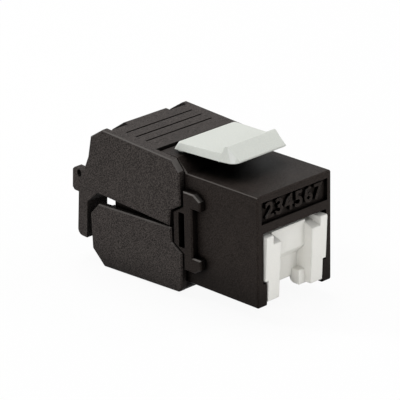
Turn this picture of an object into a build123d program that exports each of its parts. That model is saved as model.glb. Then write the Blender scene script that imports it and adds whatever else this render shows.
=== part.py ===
from build123d import *

import os

os.makedirs("parts", exist_ok=True)

# A keystone jack: front housing with plug port, white release latch, dust cap,
# rear body with snap arms, circuit board, cutting contacts and two wire covers.
# The origin is the middle of the front face. +X is across, +Y is rearwards, +Z is up.
# All sizes are millimetres.

# Front box
BOX_W = 14.5
BOX_H = 16.25
BOX_D = 14.3
BOX_ROUND = 0.3
ROOF = 1.3
SIDE_WALL = 1.3
FRONT_WALL = 1.5

# Plug port
PORT_FLOOR = -4.75
PORT_TOP = 2.25
PORT_DEPTH = 12.8
RECESS_W = 12.4
RECESS_TOP = 2.65
RECESS_DEPTH = 1.2
TAB_SLOT_W = 11.1
TAB_SLOT_DEPTH = 7.5
TAB_POCKET_W = 6.4
TAB_POCKET_H = 2.15

# Label field above the port
LABEL_W = 12.9
LABEL_LOW = 3.95
LABEL_HIGH = 7.15
LABEL_DEPTH = 0.55

# Fixed lug under the box
LUG_W = 8.0
LUG_Y = 8.1
LUG_LENGTH = 1.6
LUG_DROP = 1.25
LUG_RAMP = 0.9

# Shoulders that carry the covers' hinges
UPPER_REACH = 9.95
LOWER_REACH = 9.6
SHOULDER_FOOT = 13.45
SHOULDER_CREST = 15.4
SHOULDER_REAR = 19.15
SHOULDER_LOW = 5.9
SHOULDER_EDGE = 0.4
SHOULDER_BREAK = 0.2
NOSE_ROUND = 1.0

# Cover hinges
HINGE_Y = 15.3
HINGE_INSET = 1.3
PIN_R = 0.55
PIN_LENGTH = 1.0
PIN_CLEAR = 0.05
PIN_END_CLEAR = 0.1
UPPER_AJAR = 3.4
LOWER_AJAR = 2.1

# Rear body: arms that snap over the box, and a frame round the board
ARM_T = 1.0
ARM_GAP = 0.05
ARM_FRONT = 10.0
ARM_STEM = 11.6
ARM_BACK = 13.35
ARM_BELLY = 15.3
ARM_HALF = 5.85
ARM_HOOK_LOW = 3.6
ARM_HOOK_HIGH = 5.05
ARM_HOOK_SLOPE = 1.3
BELLY_HALF = 2.3
SHOULDER_HALF = 3.5
SLOT_Y = 13.05
SLOT_LENGTH = 1.15
SLOT_H = 5.2
SNAP_CLEAR = 0.15
SNAP_RISE = 0.6
SNAP_FLAT = 0.3
SNAP_ROOT = 0.5
SNAP_ROUND = 0.2
CORE_OUTER = 7.2
CORE_WALL = 0.9
CORE_HALF = 2.2
CORE_REAR = 28.2
CORE_GAP = 0.05

# Covers, measured closed
COVER_GAP = 0.1
COVER_RUN = 0.2
PLATE_T = 0.95
REAR_INSET = 0.1
COVER_WALL = 1.0
SPLIT_Z = -0.13
SPLIT_GAP = 0.1
FRONT_TOP_Y = 13.95
CORNER_CUT = 1.45
PLATE_GAP_Y = 0.35
FOLD_Y = 29.4
REAR_TOP_Y = 31.9
REAR_TOP_DROP = 1.8
REAR_BEND_Y = 32.4
REAR_BEND_DROP = 5.1
REAR_EDGE_Y = 32.2
UPPER_REAR_FOOT = 34.35
REAR_WALL = 1.1
STEP_GAP = 0.05
FRONT_LEAN = 0.15
LOWER_CHAMFER = 2.3
LOWER_NOTCH = 1.85
EDGE_BREAK = 0.2

# Grip grooves and rear tab of the covers
GROOVE_COUNT = 3
GROOVE_FIRST = 22.45
GROOVE_PITCH = 2.0
GROOVE_LENGTH = 12.8
GROOVE_W = 0.3
GROOVE_DEPTH = 0.3
TAB_W = 8.2
TAB_LENGTH = 0.9
POCKET_Y = 28.5
POCKET_DEPTH = 1.2
POCKET_REAR_DROP = 2.75
POCKET_WALL = 0.8

# Cable arch, legs and tie hooks
ARCH_R = 4.2
LEG_RECESS = 0.2
LEG_CLEAR = 0.35
LEG_LOW = -7.8
LEG_FOOT_Y = 34.45
LEG_GUSSET = 2.05
LEG_ROOT = 1.2
LEG_LEAN = 0.55
LEG_ROUND = 0.9
HOOK_W = 1.3
HOOK_REAR = 35.65
HOOK_TOP = 2.4
HOOK_LOW = -1.15
HOOK_CUT = 0.4
HOOK_ROOT = 0.5
HOOK_POCKET_Y = 34.3
HOOK_POCKET_Z = 1.7
HOOK_POCKET_R = 0.42
HOOK_POCKET_RISE = 0.25
HOOK_POCKET_DEPTH = 0.8

# Release latch
LATCH_W = 12.0
LATCH_REAR = 17.4
LATCH_LIFT = 0.5
LATCH_T = 1.0
LATCH_ROUND = 0.75
LATCH_TIP_Y = 6.0
LATCH_TIP_T = 0.2
LATCH_RISE = 0.4
LATCH_FALL_Y = 8.7
LATCH_CORNER = 1.7
LATCH_CORNER_Y = 1.4
RIDGE_HALF = 5.0
RIDGE_FRONT_Y = 7.8
RIDGE_TOP = 12.7
RIDGE_REAR_Y = 9.15
RIDGE_SLOPE = 0.3
RIDGE_EDGE = 0.35
RIDGE_ROOT = 0.4
BEAD_Y = 16.8
BEAD_DEPTH = 1.0
BEAD_R = 0.7
BEAD_W = 10.4
BEAD_CLEAR = 0.06
BEAD_SIDE_CLEAR = 0.1
NECK_T = 0.7
NECK_CLEAR = 0.1
NECK_SWING = 0.4

# Circuit board
BOARD_T = 1.2
BOARD_W = 13.2
BOARD_FRONT = 14.45
BOARD_REAR = 27.0
BOARD_CLEAR = 0.04

# Spring contacts and the insert that holds them
CONTACTS = 8
CONTACT_PITCH = 1.02
CONTACT_W = 0.45
CONTACT_T = 0.35
CONTACT_RUN = 2.75
CONTACT_NOSE = 4.0
CONTACT_BEND = 0.4
CONTACT_DROP = 1.9
CONTACT_END_Y = 13.3
CONTACT_END_Z = -0.3
TAIL_Y = 15.8
TAIL_STAGGER = 1.3
TAIL_LENGTH = 0.5
TAIL_HOLE_R = 0.32
INSERT_CLEAR = 0.06
INSERT_REAR = 14.2
CONTACT_CLEAR = 0.07
COMB_DEPTH = 0.9

# Terminal blocks and cutting contacts
BLOCK_CLEAR = 0.1
BLOCK_FRONT = 20.2
BLOCK_REAR = 25.8
BLOCK_TOP = 5.0
WAYS = 4
WAY_PITCH = 3.2
CHANNEL_W = 1.5
CHANNEL_FLOOR = 1.9
BLADE_W = 2.6
BLADE_T = 0.4
BLADE_TOP = 4.7
BLADE_SLOT = 0.4
BLADE_MOUTH = 1.3
BLADE_MOUTH_H = 0.8
BLADE_CORNER = 0.4
BLADE_CORNER_H = 0.5
BLADE_ROOT = 0.5
BLADE_CLEAR = 0.08
BLADE_PIN_W = 0.6
BLADE_PIN_OFFSET = 0.7
BLADE_HOLE_R = 0.42
FIN_W = 1.0
FIN_TIP = 3.0
FIN_FRONT_LENGTH = 1.1
FIN_REAR_LENGTH = 1.0
FIN_INSET = 0.1

# Dust cap
CAP_CLEAR = 0.25
CAP_SLOT_CLEAR = 0.2
CAP_GAP_W = 6.2
CAP_TOP = 2.1
CAP_STEP_X = 4.6
CAP_STEP_TOP = 0.75
CAP_STEP_RISE = 0.6
CAP_WIDE_LOW = -4.4
CAP_BOTTOM = -7.6
CAP_PROUD = 0.5
CAP_TAPER = 0.5
CAP_PAD_Y = 1.2
CAP_PAD_LOW = -2.0
CAP_PAD_CUT = 1.4
CAP_PANEL_LOW = -6.7
CAP_BACK = 3.05
CAP_LUG_W = 1.15
CAP_LUG_Y = 1.1
CAP_LUG_TOP = -5.6
CAP_LUG_LOW = -7.75
CHEEK_JOIN = 0.45
CHEEK_END = 7.2
CHEEK_CLEAR = 0.1
CHEEK_TOP = 1.6
CAP_EDGE = 0.2
CAP_SOFT = 0.15
CAP_PAD_GAP = 0.4
CAP_JOIN = 0.2
CAP_LUG_ROUND = 0.9
FLANGE_GAP = 0.1

# Worked out from the sizes above
HALF_W = BOX_W / 2
HALF_H = BOX_H / 2
PORT_HALF = HALF_W - SIDE_WALL
BAY_TOP = HALF_H - ROOF
PLATE_IN = HALF_W + COVER_GAP
PLATE_OUT = PLATE_IN + PLATE_T
ARM_IN = HALF_W + ARM_GAP
ARM_OUT = ARM_IN + ARM_T
UPPER_HINGE_Z = UPPER_REACH - HINGE_INSET
LOWER_HINGE_Z = LOWER_REACH - HINGE_INSET
TOP_PLATE_Y = SHOULDER_REAR + PLATE_GAP_Y
BOARD_HALF = BOARD_T / 2
CORE_IN = CORE_OUTER - CORE_WALL
BLOCK_HALF = CORE_IN - BLOCK_CLEAR
BLADE_Y = (BLOCK_FRONT + BLOCK_REAR) / 2
BEAD_Z = UPPER_REACH - BEAD_DEPTH
LEG_INNER_Y = REAR_EDGE_Y + LEG_CLEAR
LEG_OUT = PLATE_OUT - LEG_RECESS


def block(x0, x1, y0, y1, z0, z1):
    """A box between two corners."""
    size = Box(x1 - x0, y1 - y0, z1 - z0, align=(Align.MIN, Align.MIN, Align.MIN))
    return Pos(x0, y0, z0) * size


def outline(*points):
    """A closed face in the side view, from (y, z) points."""
    return make_face(Polyline(*points, close=True))


def rounded(face, radius, *corners):
    """The face with its corners nearest to the given points rounded."""
    chosen = [min(face.vertices(), key=lambda v: (v.X - y) ** 2 + (v.Y - z) ** 2) for y, z in corners]
    return fillet(chosen, radius)


def across(face, x0, x1):
    """A side-view face drawn out across the jack, from x0 to x1."""
    return extrude(Plane.YZ.offset(x0) * face, x1 - x0)


def rod(radius, y, z, x0, x1):
    """A round bar along X."""
    return across(Pos(y, z) * Circle(radius), x0, x1)


def both_sides(shape):
    """A shape and its mirror image across the middle plane."""
    return shape + mirror(shape, about=Plane.YZ)


def upside_down(shape):
    """A shape turned over about the middle height."""
    return mirror(shape, about=Plane.XY)


def swung(shape, hinge_z, degrees):
    """A shape turned about a cover hinge at the given height."""
    return Pos(0, HINGE_Y, hinge_z) * Rot(degrees, 0, 0) * Pos(0, -HINGE_Y, -hinge_z) * shape


def contact_x(index):
    """Place of a spring contact across the port."""
    return (index - (CONTACTS - 1) / 2) * CONTACT_PITCH


def tail_y(index):
    """Place of a contact's tail in the board: two staggered rows."""
    return TAIL_Y + TAIL_STAGGER * (index % 2)


def way_x(index):
    """Place of a wire way across a terminal block."""
    return (index - (WAYS - 1) / 2) * WAY_PITCH


def upper_shoulder():
    """Hinge carrier on the roof, with a ramp in front."""
    side = outline(
        (SHOULDER_FOOT, SHOULDER_LOW),
        (SHOULDER_FOOT, HALF_H),
        (SHOULDER_CREST, UPPER_REACH),
        (SHOULDER_REAR, UPPER_REACH),
        (SHOULDER_REAR, SHOULDER_LOW),
    )
    side = rounded(side, SHOULDER_EDGE, (SHOULDER_REAR, UPPER_REACH))
    shoulder = across(side, -HALF_W, HALF_W)
    rims = shoulder.faces().filter_by(Axis.X).edges().filter_by(lambda edge: edge.center().Z > HALF_H)
    return chamfer(rims, SHOULDER_BREAK)


def lower_shoulder():
    """Hinge carrier under the floor, with a round nose."""
    side = outline(
        (FRONT_TOP_Y, SHOULDER_LOW),
        (FRONT_TOP_Y, LOWER_REACH),
        (SHOULDER_REAR, LOWER_REACH),
        (SHOULDER_REAR, SHOULDER_LOW),
    )
    side = rounded(side, NOSE_ROUND, (FRONT_TOP_Y, LOWER_REACH))
    side = rounded(side, SHOULDER_EDGE, (SHOULDER_REAR, LOWER_REACH))
    return upside_down(across(side, -HALF_W, HALF_W))


def hinge_bores(hinge_z):
    """Blind holes for a cover's two pins."""
    hole = rod(PIN_R + PIN_CLEAR, HINGE_Y, hinge_z, PLATE_IN - PIN_LENGTH - PIN_END_CLEAR, PLATE_IN)
    return both_sides(hole)


def latch_groove():
    """Round seat of the latch's bead, with a mouth that lets the neck swing."""
    half = BEAD_W / 2 + BEAD_SIDE_CLEAR
    seat = rod(BEAD_R + BEAD_CLEAR, BEAD_Y, BEAD_Z, -half, half)
    back = BEAD_Y + NECK_T / 2 + NECK_CLEAR
    front = BEAD_Y - NECK_T / 2 - NECK_CLEAR
    high = UPPER_REACH + 1
    mouth = outline((front, BEAD_Z), (back, BEAD_Z), (back, high), (front - NECK_SWING, high))
    return seat + across(mouth, -half, half)


def housing_shell():
    """The box, both shoulders and the fixed lug, still solid."""
    box = block(-HALF_W, HALF_W, 0, BOX_D, -HALF_H, HALF_H)
    long_edges = box.edges().filter_by(Axis.Y)
    front_edges = box.faces().sort_by(Axis.Y)[0].edges()
    box = fillet(long_edges + front_edges, BOX_ROUND)
    lug = outline(
        (LUG_Y, 1 - HALF_H),
        (LUG_Y + LUG_LENGTH + LUG_RAMP, 1 - HALF_H),
        (LUG_Y + LUG_LENGTH + LUG_RAMP, -HALF_H),
        (LUG_Y + LUG_LENGTH, -HALF_H - LUG_DROP),
        (LUG_Y, -HALF_H - LUG_DROP),
    )
    return box + upper_shoulder() + lower_shoulder() + across(lug, -LUG_W / 2, LUG_W / 2)


def snaps():
    """Wedges on the box's sides that hold the rear body's arms."""
    front = SLOT_Y + SNAP_CLEAR
    rear = SLOT_Y + SLOT_LENGTH - SNAP_CLEAR
    wedge = make_face(
        Polyline(
            (HALF_W - SNAP_ROOT, front),
            (HALF_W + SNAP_RISE, front),
            (HALF_W + SNAP_RISE, front + SNAP_FLAT),
            (HALF_W, rear),
            (HALF_W - SNAP_ROOT, rear),
            close=True,
        )
    )
    half = SLOT_H / 2 - SNAP_CLEAR
    solid = extrude(Plane.XY.offset(-half) * wedge, 2 * half)
    crest = solid.edges().filter_by(Axis.Z).sort_by(Axis.X)[-2:]
    return both_sides(fillet(crest.sort_by(Axis.Y)[0], SNAP_ROUND))


def front_housing():
    """Front box with the plug port, the insert's bay, shoulders, lug and snaps."""
    body = housing_shell() + snaps()
    bay = block(-PORT_HALF, PORT_HALF, FRONT_WALL, SHOULDER_REAR + 1, PORT_FLOOR, BAY_TOP)
    low_bay = block(-PORT_HALF, PORT_HALF, INSERT_REAR + INSERT_CLEAR, SHOULDER_REAR + 1, -BAY_TOP, 0)
    mouth = block(-PORT_HALF, PORT_HALF, -1, FRONT_WALL + 1, PORT_FLOOR, PORT_TOP)
    recess = block(-RECESS_W / 2, RECESS_W / 2, -1, RECESS_DEPTH, PORT_FLOOR, RECESS_TOP)
    tab_slot = block(-TAB_SLOT_W / 2, TAB_SLOT_W / 2, -1, TAB_SLOT_DEPTH, -HALF_H - 1, PORT_FLOOR + 1)
    half = TAB_POCKET_W / 2
    pocket_floor = PORT_FLOOR - TAB_POCKET_H
    pocket = block(-half, half, TAB_SLOT_DEPTH - 1, PORT_DEPTH, pocket_floor, PORT_FLOOR + 1)
    label = block(-LABEL_W / 2, LABEL_W / 2, -1, LABEL_DEPTH, LABEL_LOW, LABEL_HIGH)
    body -= bay + low_bay + mouth + recess + tab_slot + pocket + label
    body -= hinge_bores(UPPER_HINGE_Z) + hinge_bores(-LOWER_HINGE_Z) + latch_groove()
    return body


def arm_outline():
    """Side view of a snap arm: a C with two hooks, open to the front."""
    upper = [
        (ARM_BELLY, BELLY_HALF),
        (ARM_BACK, SHOULDER_HALF),
        (ARM_BACK, ARM_HALF),
        (ARM_FRONT + ARM_HOOK_SLOPE, ARM_HALF),
        (ARM_FRONT, ARM_HOOK_HIGH),
        (ARM_FRONT, ARM_HOOK_LOW),
        (ARM_STEM, ARM_HOOK_LOW),
    ]
    lower = [(y, -z) for y, z in reversed(upper)]
    return outline(*upper, *lower)


def rear_body():
    """Snap arms joined to a frame that holds the circuit board in grooves."""
    plate = across(arm_outline(), ARM_IN, ARM_OUT)
    outer_rim = plate.faces().sort_by(Axis.X)[-1].edges()
    plate = chamfer(outer_rim, EDGE_BREAK)
    slot = block(ARM_IN - 1, ARM_OUT + 1, SLOT_Y, SLOT_Y + SLOT_LENGTH, -SLOT_H / 2, SLOT_H / 2)
    front = BOX_D + CORE_GAP
    bridge = block(CORE_IN, ARM_OUT - ARM_T / 2, front, ARM_BELLY, -CORE_HALF, CORE_HALF)
    wall = block(CORE_IN, CORE_OUTER, front, CORE_REAR, -CORE_HALF, CORE_HALF)
    side = (plate - slot) + bridge + wall
    back = block(-CORE_OUTER, CORE_OUTER, BOARD_REAR + BOARD_CLEAR, CORE_REAR, -CORE_HALF, CORE_HALF)
    groove_half = BOARD_HALF + BOARD_CLEAR
    groove_out = BOARD_W / 2 + BOARD_CLEAR
    groove = block(-groove_out, groove_out, front - 1, BOARD_REAR + BOARD_CLEAR, -groove_half, groove_half)
    return both_sides(side) + back - groove


def grooves(reach):
    """Fine grip grooves in a cover's outer plate."""
    cut = None
    for index in range(GROOVE_COUNT):
        y = GROOVE_FIRST + index * GROOVE_PITCH
        half = GROOVE_LENGTH / 2
        line = block(-half, half, y - GROOVE_W / 2, y + GROOVE_W / 2, reach - GROOVE_DEPTH, reach + 1)
        cut = line if cut is None else cut + line
    return cut


def fins(reach):
    """Ribs inside a cover that press the wires onto the cutting contacts."""
    top = reach - COVER_WALL / 2
    front = BLOCK_FRONT
    rear = BLOCK_REAR - FIN_INSET
    ribs = None
    for index in range(WAYS):
        x = way_x(index)
        fore = block(x - FIN_W / 2, x + FIN_W / 2, front, front + FIN_FRONT_LENGTH, FIN_TIP, top)
        aft = block(x - FIN_W / 2, x + FIN_W / 2, rear - FIN_REAR_LENGTH, rear, FIN_TIP, top)
        ribs = fore + aft if ribs is None else ribs + fore + aft
    return ribs


def side_plate(points, round_corner):
    """Both side plates of a cover, with their outer edges broken."""
    face = outline(*points)
    if round_corner is not None:
        face = rounded(face, NOSE_ROUND, round_corner)
    plate = across(face, PLATE_IN, PLATE_OUT)
    plate = chamfer(plate.faces().sort_by(Axis.X)[-1].edges(), EDGE_BREAK)
    return both_sides(plate)


def cover_pins(hinge_z):
    """Stub pins inside the side plates, on the hinge axis."""
    pin = rod(PIN_R, HINGE_Y, hinge_z, PLATE_IN - PIN_LENGTH, PLATE_IN + PLATE_T / 2)
    return both_sides(pin)


def rear_pockets(reach):
    """Linings and hollows of the two pockets beside the tab at the rear fold."""
    low = reach - POCKET_REAR_DROP
    lining = outline(
        (POCKET_Y - POCKET_WALL, reach - COVER_WALL / 2),
        (POCKET_Y - POCKET_WALL, reach - POCKET_DEPTH - POCKET_WALL),
        (REAR_BEND_Y - REAR_WALL, low - POCKET_WALL),
        (REAR_TOP_Y - REAR_INSET, low - POCKET_WALL),
        (REAR_TOP_Y - REAR_INSET, reach - REAR_TOP_DROP),
        (POCKET_Y + TAB_LENGTH, reach),
        (POCKET_Y, reach),
    )
    hollow = outline(
        (POCKET_Y, reach + 1),
        (POCKET_Y, reach - POCKET_DEPTH),
        (REAR_BEND_Y + 1, low),
        (REAR_BEND_Y + 1, reach + 1),
    )
    walls = both_sides(across(lining, TAB_W / 2 - POCKET_WALL, PLATE_IN + PLATE_T / 2))
    return walls, both_sides(across(hollow, TAB_W / 2, PLATE_IN))


def upper_cover_closed():
    """Upper wire cover in its closed place: plates, top, arch, legs and tie hooks."""
    low = SPLIT_Z + SPLIT_GAP / 2
    reach = UPPER_REACH
    points = [
        (ARM_BELLY + COVER_RUN + FRONT_LEAN, low),
        (ARM_BELLY + COVER_RUN, BELLY_HALF + STEP_GAP),
        (ARM_BACK + COVER_RUN, SHOULDER_HALF + 2 * STEP_GAP),
        (FRONT_TOP_Y, reach - CORNER_CUT),
        (FRONT_TOP_Y + CORNER_CUT, reach),
        (FOLD_Y, reach),
        (REAR_TOP_Y, reach - REAR_TOP_DROP),
        (REAR_BEND_Y, reach - REAR_BEND_DROP),
        (UPPER_REAR_FOOT, low),
    ]
    cover = side_plate(points, None)
    skin = outline(
        (TOP_PLATE_Y, reach - COVER_WALL),
        (TOP_PLATE_Y, reach),
        (POCKET_Y + TAB_LENGTH, reach),
        (REAR_TOP_Y - REAR_INSET, reach - REAR_TOP_DROP),
        (REAR_BEND_Y - REAR_INSET, reach - REAR_BEND_DROP),
        (UPPER_REAR_FOOT - REAR_INSET, low),
        (LEG_INNER_Y, low),
        (REAR_BEND_Y - REAR_INSET - REAR_WALL, reach - REAR_BEND_DROP),
        (REAR_TOP_Y - REAR_INSET - REAR_WALL, reach - REAR_TOP_DROP),
        (POCKET_Y, reach - COVER_WALL),
    )
    linings, pockets = rear_pockets(reach)
    cover += across(skin, -PLATE_IN - PLATE_T / 2, PLATE_IN + PLATE_T / 2) + linings
    cover += fins(reach) + cover_pins(UPPER_HINGE_Z) + legs(low) + tie_lugs()
    cover -= grooves(reach) + pockets + cable_arch()
    return cover


def legs(low):
    """Jaws either side of the cable arch that reach down behind the lower cover."""
    side = outline(
        (LEG_INNER_Y - LEG_GUSSET, low + LEG_ROOT),
        (LEG_INNER_Y - LEG_GUSSET, low),
        (LEG_INNER_Y, low - LEG_GUSSET),
        (LEG_INNER_Y, LEG_LOW),
        (LEG_FOOT_Y, LEG_LOW),
        (UPPER_REAR_FOOT, low),
        (UPPER_REAR_FOOT - LEG_LEAN, low + LEG_ROOT),
    )
    side = rounded(side, LEG_ROUND, (LEG_FOOT_Y, LEG_LOW))
    return both_sides(across(side, ARCH_R, LEG_OUT))


def cable_arch():
    """Room for the cable through the rear wall of both covers."""
    front = FOLD_Y - 1
    arch = extrude(Plane.XZ.offset(-front) * Circle(ARCH_R), -(HOOK_REAR - front + 1))
    way = block(-ARCH_R, ARCH_R, front, HOOK_REAR + 1, LEG_LOW - 1, 0)
    return arch + way


def tie_lugs():
    """Lugs behind the legs that keep a cable tie in place, each with a pocket outside."""
    root = LEG_FOOT_Y - HOOK_ROOT
    lean = (UPPER_REAR_FOOT - REAR_BEND_Y) / (UPPER_REACH - REAR_BEND_DROP)
    side = outline(
        (root, HOOK_LOW),
        (HOOK_REAR - HOOK_CUT, HOOK_LOW),
        (HOOK_REAR, HOOK_LOW + HOOK_CUT),
        (HOOK_REAR, HOOK_TOP - HOOK_CUT),
        (HOOK_REAR - HOOK_CUT, HOOK_TOP),
        (root - lean * HOOK_TOP, HOOK_TOP),
    )
    lug = across(side, LEG_OUT - HOOK_W, LEG_OUT)
    slot = Rot(0, 0, 90) * SlotCenterToCenter(HOOK_POCKET_RISE, 2 * HOOK_POCKET_R)
    pocket = across(Pos(HOOK_POCKET_Y, HOOK_POCKET_Z) * slot, LEG_OUT - HOOK_POCKET_DEPTH, LEG_OUT + 1)
    return both_sides(lug - pocket)


def lower_cover_closed():
    """Lower wire cover in its closed place, drawn the right way up then turned over."""
    low = -SPLIT_Z + SPLIT_GAP / 2
    reach = LOWER_REACH
    points = [
        (ARM_BELLY + COVER_RUN, low),
        (ARM_BELLY + COVER_RUN, BELLY_HALF + STEP_GAP),
        (ARM_BACK + COVER_RUN, SHOULDER_HALF + 2 * STEP_GAP),
        (FRONT_TOP_Y, reach),
        (REAR_EDGE_Y - LOWER_CHAMFER, reach),
        (REAR_EDGE_Y, reach - LOWER_CHAMFER),
        (REAR_EDGE_Y, low + LOWER_NOTCH),
        (REAR_EDGE_Y - LOWER_NOTCH, low),
    ]
    cover = side_plate(points, (FRONT_TOP_Y, reach))
    rear = REAR_EDGE_Y - REAR_INSET
    skin = outline(
        (TOP_PLATE_Y, reach - COVER_WALL),
        (TOP_PLATE_Y, reach),
        (rear - LOWER_CHAMFER, reach),
        (rear, reach - LOWER_CHAMFER),
        (rear, low + LOWER_NOTCH),
        (rear - COVER_WALL, low + LOWER_NOTCH),
        (rear - COVER_WALL, reach - LOWER_CHAMFER - COVER_WALL / 2),
        (rear - LOWER_CHAMFER - COVER_WALL / 2, reach - COVER_WALL),
    )
    cover += across(skin, -PLATE_IN - PLATE_T / 2, PLATE_IN + PLATE_T / 2)
    cover += fins(reach) + cover_pins(LOWER_HINGE_Z)
    cover -= grooves(reach) + cable_arch()
    return upside_down(cover)


def release_latch():
    """Springy latch with a ridge, on a bead seated in the upper shoulder."""
    under = UPPER_REACH + LATCH_LIFT
    top = under + LATCH_T
    tip_low = under + LATCH_RISE
    half = LATCH_W / 2
    plate = block(-half, half, LATCH_TIP_Y, LATCH_REAR, under, top)
    rim = plate.faces().sort_by(Axis.Z)[-1].edges().sort_by(Axis.Y)[1:]
    plate = fillet(rim, LATCH_ROUND)
    fall = outline(
        (LATCH_FALL_Y, top),
        (LATCH_FALL_Y, top + 1),
        (LATCH_TIP_Y - 1, top + 1),
        (LATCH_TIP_Y - 1, tip_low + LATCH_TIP_T),
        (LATCH_TIP_Y, tip_low + LATCH_TIP_T),
    )
    rise = outline(
        (LATCH_REAR, under),
        (LATCH_TIP_Y, tip_low),
        (LATCH_TIP_Y - 1, under - 1),
        (LATCH_REAR, under - 1),
    )
    plate -= across(fall, -half - 1, half + 1) + across(rise, -half - 1, half + 1)
    ridge = outline(
        (LATCH_TIP_Y, tip_low),
        (LATCH_TIP_Y, tip_low + LATCH_TIP_T),
        (RIDGE_FRONT_Y, RIDGE_TOP),
        (RIDGE_REAR_Y, RIDGE_TOP - RIDGE_SLOPE),
        (RIDGE_REAR_Y, under + RIDGE_ROOT),
    )
    bar = across(ridge, -RIDGE_HALF, RIDGE_HALF)
    high = bar.faces().sort_by(Axis.Z)[-1]
    ends = bar.faces().filter_by(Axis.X).edges().filter_by(lambda e: e.center().Z > top)
    bar = chamfer([edge for edge in ends if edge.center().Y <= high.center().Y + LATCH_T], RIDGE_EDGE)
    corner = make_face(
        Polyline(
            (half + 1, LATCH_TIP_Y - 1),
            (half + 1, LATCH_TIP_Y + LATCH_CORNER_Y),
            (half, LATCH_TIP_Y + LATCH_CORNER_Y),
            (half - LATCH_CORNER, LATCH_TIP_Y),
            (half - LATCH_CORNER, LATCH_TIP_Y - 1),
            close=True,
        )
    )
    plate = plate + bar - both_sides(extrude(Plane.XY.offset(under - 1) * corner, 4))
    front = BEAD_Y - NECK_T / 2
    neck = block(-BEAD_W / 2, BEAD_W / 2, front, front + NECK_T, BEAD_Z, under + LATCH_T / 2)
    return plate + neck + rod(BEAD_R, BEAD_Y, BEAD_Z, -BEAD_W / 2, BEAD_W / 2)


def circuit_board():
    """Bare board with holes for the contact tails and the blades' pins."""
    board = block(-BOARD_W / 2, BOARD_W / 2, BOARD_FRONT, BOARD_REAR, -BOARD_HALF, BOARD_HALF)
    for index in range(CONTACTS):
        hole = Pos(contact_x(index), tail_y(index), 0) * Cylinder(TAIL_HOLE_R, 2 * BOARD_T)
        board -= hole
    for index in range(WAYS):
        for offset in (-BLADE_PIN_OFFSET, BLADE_PIN_OFFSET):
            board -= Pos(way_x(index) + offset, BLADE_Y, 0) * Cylinder(BLADE_HOLE_R, 2 * BOARD_T)
    return board


def contact_insert():
    """Insulating insert: a slab over the port and a comb wall behind it."""
    half = PORT_HALF - INSERT_CLEAR
    slab_low = PORT_TOP + INSERT_CLEAR
    front = FRONT_WALL + INSERT_CLEAR
    slab = block(-half, half, front, INSERT_REAR, slab_low, BAY_TOP - INSERT_CLEAR)
    wall = block(-half, half, PORT_DEPTH, INSERT_REAR, PORT_FLOOR + INSERT_CLEAR, slab_low + 1)
    insert = slab + wall
    half_w = CONTACT_W / 2 + CONTACT_CLEAR
    reach = CONTACT_T / 2 + CONTACT_CLEAR
    for index in range(CONTACTS):
        x = contact_x(index)
        low = x - half_w
        high = x + half_w
        insert -= block(low, high, CONTACT_NOSE - reach, INSERT_REAR + 1, slab_low - 1, CONTACT_RUN + reach)
        insert -= block(low, high, PORT_DEPTH - 1, PORT_DEPTH + COMB_DEPTH, CONTACT_END_Z - 1, CONTACT_RUN)
    return insert


def spring_contact(index):
    """Bent spring wire: tail in the board, run over the port, nose and free end."""
    route = FilletPolyline(
        (tail_y(index), -BOARD_HALF - TAIL_LENGTH),
        (tail_y(index), CONTACT_RUN),
        (CONTACT_NOSE, CONTACT_RUN),
        (CONTACT_NOSE, CONTACT_DROP),
        (CONTACT_END_Y, CONTACT_END_Z),
        radius=CONTACT_BEND,
    )
    x = contact_x(index)
    return across(trace(route, CONTACT_T), x - CONTACT_W / 2, x + CONTACT_W / 2)


def terminal_block():
    """Upper terminal block: four wire channels crossed by the blades' slots."""
    body = block(-BLOCK_HALF, BLOCK_HALF, BLOCK_FRONT, BLOCK_REAR, BOARD_HALF + BOARD_CLEAR, BLOCK_TOP)
    for index in range(WAYS):
        x = way_x(index)
        left = x - CHANNEL_W / 2
        body -= block(left, left + CHANNEL_W, BLOCK_FRONT - 1, BLOCK_REAR + 1, CHANNEL_FLOOR, BLOCK_TOP + 1)
        half_w = BLADE_W / 2 + BLADE_CLEAR
        half_t = BLADE_T / 2 + BLADE_CLEAR
        body -= block(x - half_w, x + half_w, BLADE_Y - half_t, BLADE_Y + half_t, 0, BLOCK_TOP + 1)
    return body


def cutting_blade(index):
    """Forked blade of an upper way, with its pin in the board."""
    x = way_x(index)
    base = BOARD_HALF + BOARD_CLEAR
    half = BLADE_W / 2
    fork = make_face(
        Polyline(
            (x - half, base),
            (x - half, BLADE_TOP - BLADE_CORNER_H),
            (x - half + BLADE_CORNER, BLADE_TOP),
            (x - BLADE_MOUTH / 2, BLADE_TOP),
            (x - BLADE_SLOT / 2, BLADE_TOP - BLADE_MOUTH_H),
            (x - BLADE_SLOT / 2, CHANNEL_FLOOR),
            (x + BLADE_SLOT / 2, CHANNEL_FLOOR),
            (x + BLADE_SLOT / 2, BLADE_TOP - BLADE_MOUTH_H),
            (x + BLADE_MOUTH / 2, BLADE_TOP),
            (x + half - BLADE_CORNER, BLADE_TOP),
            (x + half, BLADE_TOP - BLADE_CORNER_H),
            (x + half, base),
            close=True,
        )
    )
    left = x - BLADE_PIN_OFFSET - BLADE_PIN_W / 2
    front = BLADE_Y - BLADE_T / 2
    plate = extrude(Plane.XZ.offset(-front - BLADE_T) * fork, BLADE_T)
    pin = block(left, left + BLADE_PIN_W, front, front + BLADE_T, -BOARD_HALF, base + BLADE_ROOT)
    return plate + pin


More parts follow.
